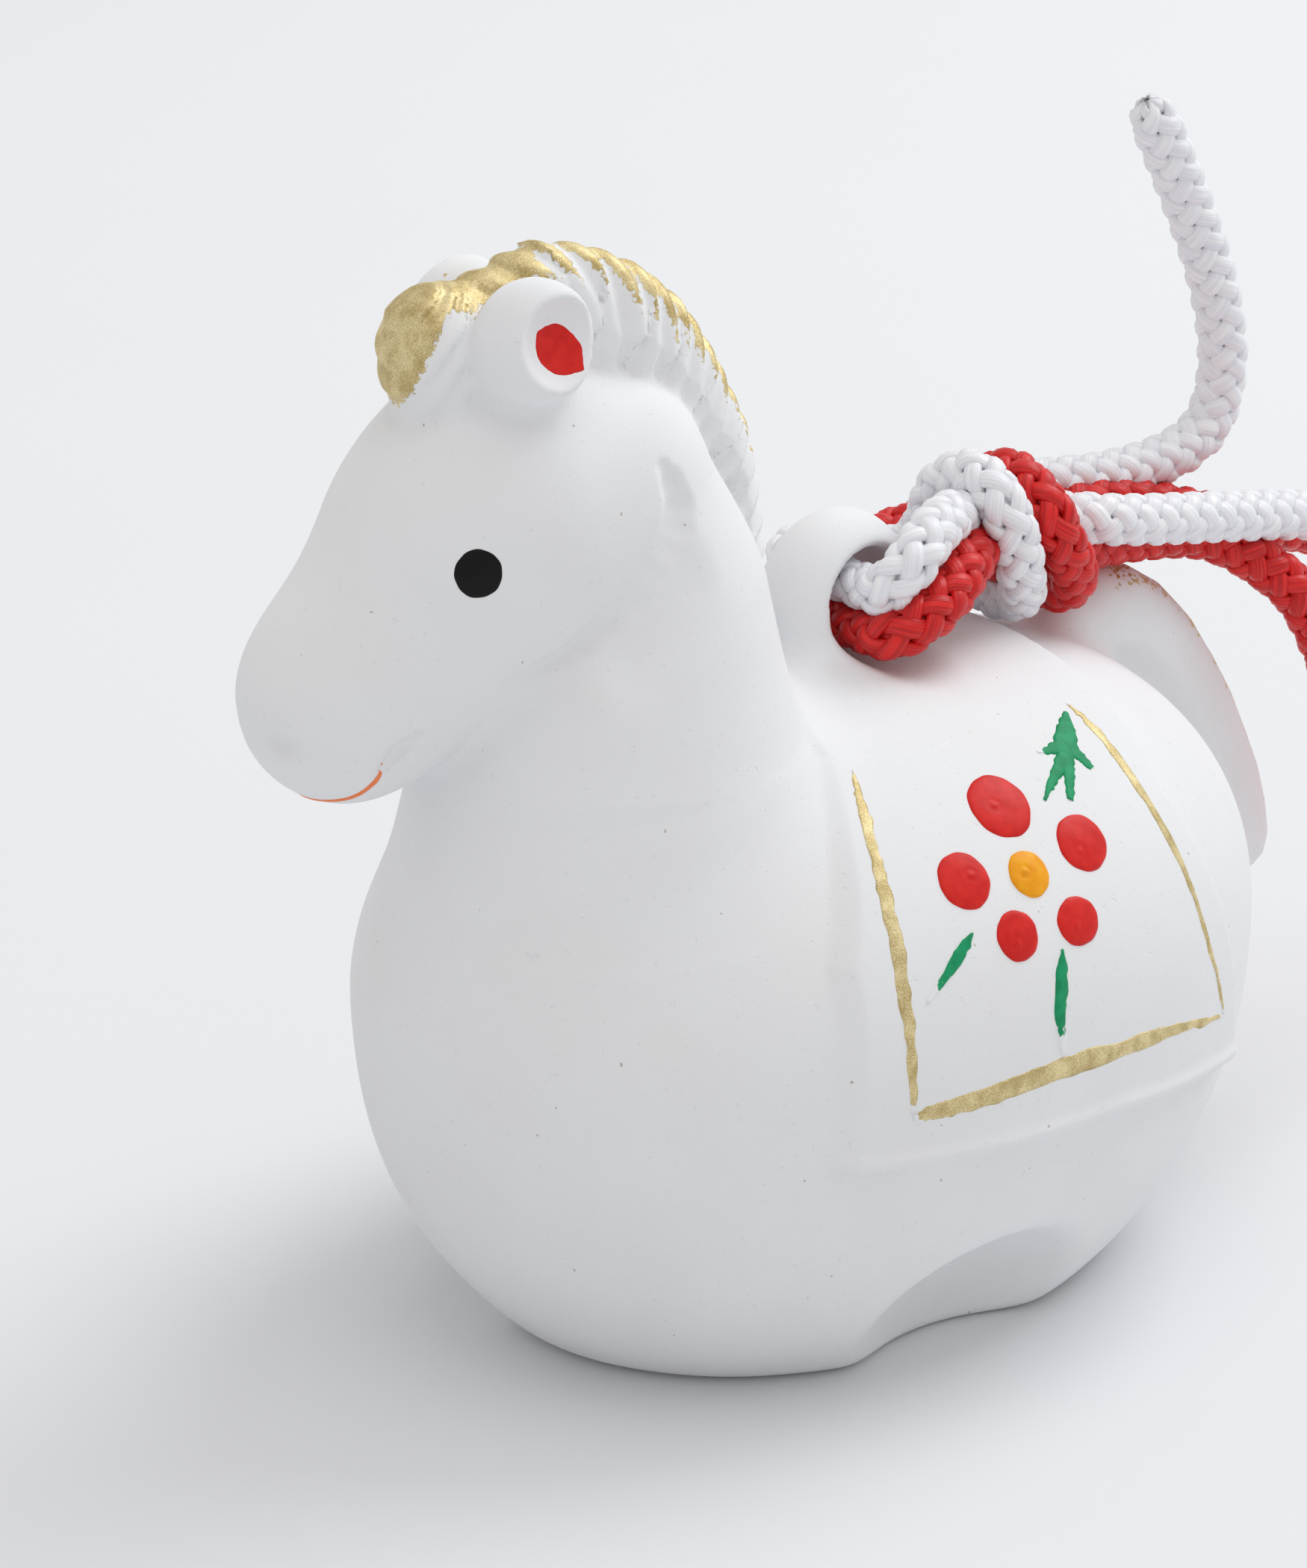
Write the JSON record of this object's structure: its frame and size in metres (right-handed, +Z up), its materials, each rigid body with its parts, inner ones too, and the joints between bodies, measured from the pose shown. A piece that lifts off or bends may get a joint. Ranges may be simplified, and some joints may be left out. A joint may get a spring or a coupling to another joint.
{
  "type": "horse-shaped clay bell",
  "caption": "Hollow bisque clay bell in the form of a standing horse, with a loose pellet inside, a saddle cloth painted with a flower, and braided cords knotted through a lug on its back.",
  "frame": {"origin": "centre of the bell's footprint box on the plane its feet stand on", "axes": "-Y the way the horse faces, +X its left side, +Z up"},
  "size_m": [0.0418, 0.0909, 0.0596],
  "materials": {
    "bisque": "matte unglazed white bisque",
    "raw_clay": "raw fired clay",
    "white_braid": "satin braided cord, white",
    "red_braid": "satin braided cord, red",
    "black_enamel": "satin black enamel",
    "red_enamel": "satin red enamel",
    "orange_enamel": "thin orange-red enamel",
    "gold_paint": "dry-brushed metallic gold paint",
    "yellow_enamel": "satin yellow-orange enamel",
    "green_enamel": "brushed green enamel"
  },
  "bodies": {
    "bell": {"bell_body": "bisque", "eyes": "black_enamel", "ear_linings": "red_enamel", "mouth_line": "orange_enamel", "gold_border": "gold_paint", "petal_dots": "red_enamel", "flower_centres": "yellow_enamel", "leaf_strokes": "green_enamel"},
    "pellet": {"clay_pellet": "raw_clay"},
    "cords": {"white_cord": "white_braid", "red_cord": "red_braid"}
  },
  "joints": [
    {"name": "cord_swing", "type": "hinge", "parent": "bell", "child": "cords", "pos_m": [0, 0.0002, 0.037], "axis": [1, 0, 0], "range_deg": [0, 65]},
    {"name": "pellet_roll", "type": "hinge", "parent": "bell", "child": "pellet", "pos_m": [0, -0.002, 0.0333], "axis": [1, 0, 0], "range_deg": [-22, 22]}
  ]
}
